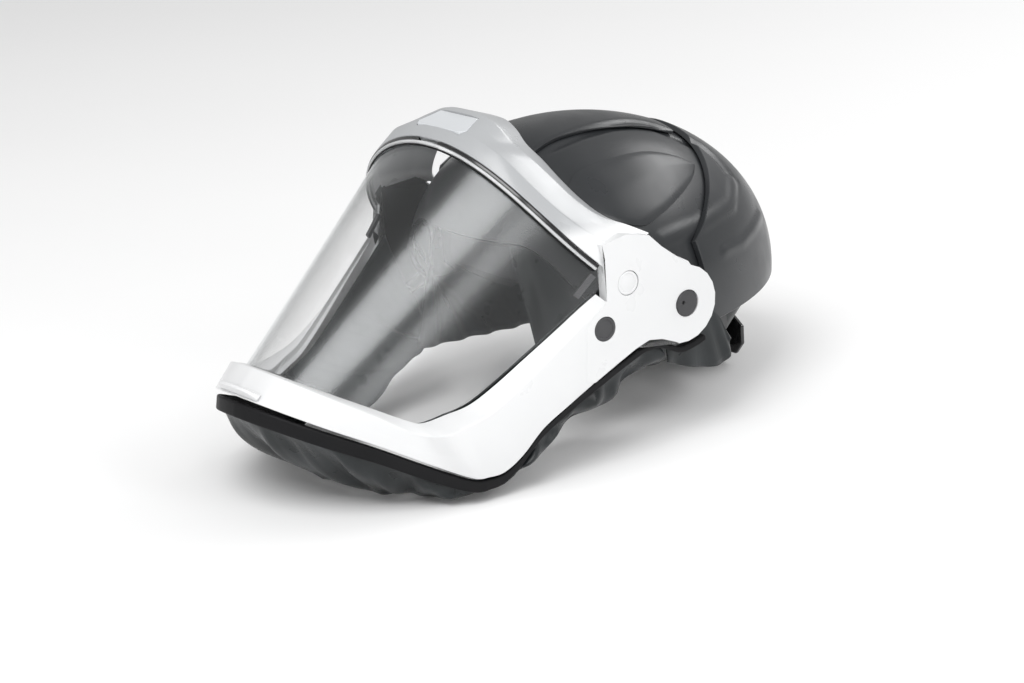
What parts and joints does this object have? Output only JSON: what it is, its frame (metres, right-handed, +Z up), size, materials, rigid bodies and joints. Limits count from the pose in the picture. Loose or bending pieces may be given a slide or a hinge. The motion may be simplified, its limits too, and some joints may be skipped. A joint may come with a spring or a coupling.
{
  "type": "powered air respirator headtop",
  "caption": "Helmet headtop of a powered air respirator: hard shell with a swing-up clear visor, fabric face seal, head harness with a nape ratchet and a hose inlet at the rear.",
  "frame": {"origin": "centre of the footprint, on the surface that the headtop stands on", "axes": "+X to the wearer's left, -Y to the front, +Z up"},
  "size_m": [0.2416, 0.4297, 0.2116],
  "materials": {
    "white_plastic": "satin",
    "shell_grey": "satin",
    "dark_plastic": "matte",
    "gloss_black": "gloss",
    "harness_plastic": "matte",
    "clear": "gloss",
    "rubber": "matte",
    "fabric": "woven",
    "foam": "matte",
    "webbing": "woven",
    "steel": "satin"
  },
  "bodies": {
    "helmet": {"helmet_shell": "shell_grey", "crown_cover": "shell_grey", "rear_housing": "shell_grey", "side_panel_left": "shell_grey", "side_panel_right": "shell_grey", "hose_socket": "dark_plastic", "air_duct": "harness_plastic", "pivot_pin_left": "steel", "pivot_pin_right": "steel", "pivot_bush_left": "dark_plastic", "pivot_bush_right": "dark_plastic", "headband": "harness_plastic", "sweatband": "foam", "crown_strap_front": "webbing", "crown_strap_rear": "webbing", "harness_clip_front_left": "harness_plastic", "harness_clip_front_right": "harness_plastic", "harness_clip_rear_left": "harness_plastic", "harness_clip_rear_right": "harness_plastic", "ratchet_housing": "gloss_black", "ratchet_cover": "gloss_black", "nape_pad": "foam"},
    "visor": {"visor_frame": "white_plastic", "brow_badge": "white_plastic", "visor_lens": "clear", "lens_rim": "clear", "lens_clip_left": "dark_plastic", "lens_clip_right": "dark_plastic", "pivot_cap_left": "dark_plastic", "pivot_cap_right": "dark_plastic", "port_plug_left": "dark_plastic", "port_plug_right": "dark_plastic", "round_plug_left": "white_plastic", "round_plug_right": "white_plastic", "seal_rail": "rubber", "face_seal": "fabric", "inner_seal": "fabric", "ear_flap_left": "fabric", "ear_flap_right": "fabric", "chin_tab": "white_plastic"},
    "left_rack": {"rack_left": "harness_plastic"},
    "right_rack": {"rack_right": "harness_plastic"},
    "adjuster": {"ratchet_knob": "gloss_black", "pinion": "harness_plastic"},
    "inlet_ring": {"lock_ring": "gloss_black"}
  },
  "joints": [
    {"name": "visor_pivot", "type": "hinge", "parent": "helmet", "child": "visor", "pos_m": [0, 0.0502, 0.0911], "axis": [-1, 0, 0], "range_deg": [0, 60]},
    {"name": "adjuster_turn", "type": "hinge", "parent": "helmet", "child": "adjuster", "pos_m": [0, 0.1682, 0.0191], "axis": [0, -1, 0], "range_deg": [0, 134]},
    {"name": "left_rack_slide", "type": "slide", "parent": "helmet", "child": "left_rack", "axis": [-1, 0, 0], "range_m": [0, 0.012]},
    {"name": "right_rack_slide", "type": "slide", "parent": "helmet", "child": "right_rack", "axis": [1, 0, 0], "range_m": [0, 0.012]},
    {"name": "inlet_ring_turn", "type": "hinge", "parent": "helmet", "child": "inlet_ring", "pos_m": [0, 0.1992, 0.0481], "axis": [0, 0.5, -0.866], "range_deg": [0, 40]}
  ],
  "couplings": [
    {"joint": "left_rack_slide", "follows": "adjuster_turn", "m_per_rad": 0.0051},
    {"joint": "right_rack_slide", "follows": "adjuster_turn", "m_per_rad": 0.0051}
  ]
}
